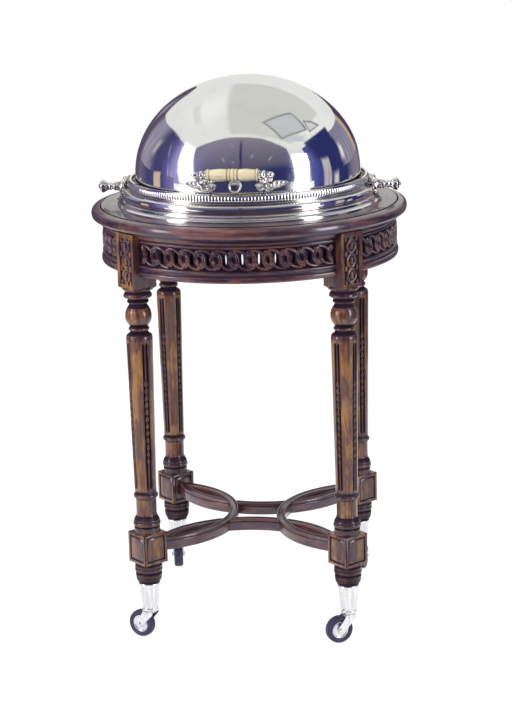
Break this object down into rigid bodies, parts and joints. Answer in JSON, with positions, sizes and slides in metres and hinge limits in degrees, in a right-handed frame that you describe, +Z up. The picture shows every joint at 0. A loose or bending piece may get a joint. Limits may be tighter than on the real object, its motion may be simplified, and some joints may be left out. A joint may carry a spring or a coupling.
{
  "type": "carving trolley",
  "caption": "Round wooden carving trolley on castors with a silver roll-top dome cover, pierced frieze, turned legs and bowed stretcher.",
  "frame": {"origin": "on the floor under the centre of the round table", "axes": "+Z up, front with the cover's handle faces -Y, the cover rolls about the X axis through its side pivots"},
  "size_m": [0.64, 0.64, 1.1215],
  "materials": {
    "walnut": "waxed, golden brown with dark reddish-brown mouldings",
    "silver": "silver plate, mirror polished",
    "bone": "cream, polished bone-like resin",
    "tyre_rubber": "matt blue-black rubber",
    "steel": "satin",
    "board_wood": "oiled",
    "burner_brass": "satin"
  },
  "bodies": {
    "stand": {"table_top": "walnut", "frieze_front": "walnut", "frieze_right": "walnut", "frieze_back": "walnut", "frieze_left": "walnut", "leg_fl": "walnut", "leg_fr": "walnut", "leg_bl": "walnut", "leg_br": "walnut", "socket_fl": "silver", "socket_fr": "silver", "socket_bl": "silver", "socket_br": "silver", "rail_left": "walnut", "rail_right": "walnut", "rail_front": "walnut", "rail_back": "walnut", "collar": "silver", "pivot_bracket_right": "silver", "pivot_bracket_left": "silver", "pivot_pin_right": "silver", "pivot_pin_left": "silver", "cradle": "steel", "burner_holder": "steel"},
    "cover": {"dome_cover": "silver", "handle_grip": "bone", "handle_post_right": "silver", "handle_post_left": "silver", "cover_boss": "silver"},
    "pan": {"hot_water_pan": "steel"},
    "board": {"carving_board": "board_wood"},
    "burner": {"spirit_burner": "burner_brass"},
    "swivel_fl": {"fork_fl": "silver"},
    "wheel_fl": {"disc_fl": "silver", "tyre_fl": "tyre_rubber"},
    "swivel_fr": {"fork_fr": "silver"},
    "wheel_fr": {"disc_fr": "silver", "tyre_fr": "tyre_rubber"},
    "swivel_bl": {"fork_bl": "silver"},
    "wheel_bl": {"disc_bl": "silver", "tyre_bl": "tyre_rubber"},
    "swivel_br": {"fork_br": "silver"},
    "wheel_br": {"disc_br": "silver", "tyre_br": "tyre_rubber"}
  },
  "joints": [
    {"name": "cover_roll", "type": "hinge", "parent": "stand", "child": "cover", "pos_m": [0, 0, 0.899], "axis": [-1, 0, 0], "range_deg": [0, 150]},
    {"name": "pan_lift", "type": "slide", "parent": "stand", "child": "pan", "axis": [0, 0, 1], "range_m": [0, 0.03]},
    {"name": "board_lift", "type": "slide", "parent": "pan", "child": "board", "axis": [0, 0, 1], "range_m": [0, 0.05]},
    {"name": "burner_lift", "type": "slide", "parent": "stand", "child": "burner", "axis": [0, 0, 1], "range_m": [0, 0.012]},
    {"name": "swivel_fl", "type": "hinge", "parent": "stand", "child": "swivel_fl", "pos_m": [-0.202, -0.202, 0.062], "axis": [0, 0, 1], "continuous": true},
    {"name": "spin_fl", "type": "hinge", "parent": "swivel_fl", "child": "wheel_fl", "pos_m": [-0.2216, -0.19201, 0.028], "axis": [0.454, 0.891, 0], "continuous": true},
    {"name": "swivel_fr", "type": "hinge", "parent": "stand", "child": "swivel_fr", "pos_m": [0.202, -0.202, 0.062], "axis": [0, 0, 1], "continuous": true},
    {"name": "spin_fr", "type": "hinge", "parent": "swivel_fr", "child": "wheel_fr", "pos_m": [0.18276, -0.21267, 0.028], "axis": [-0.4848, 0.8746, 0], "continuous": true},
    {"name": "swivel_bl", "type": "hinge", "parent": "stand", "child": "swivel_bl", "pos_m": [-0.202, 0.202, 0.062], "axis": [0, 0, 1], "continuous": true},
    {"name": "spin_bl", "type": "hinge", "parent": "swivel_bl", "child": "wheel_bl", "pos_m": [-0.20544, 0.22373, 0.028], "axis": [0.9877, 0.1564, 0], "continuous": true},
    {"name": "swivel_br", "type": "hinge", "parent": "stand", "child": "swivel_br", "pos_m": [0.202, 0.202, 0.062], "axis": [0, 0, 1], "continuous": true},
    {"name": "spin_br", "type": "hinge", "parent": "swivel_br", "child": "wheel_br", "pos_m": [0.20506, 0.22379, 0.028], "axis": [0.9903, -0.1392, 0], "continuous": true}
  ]
}
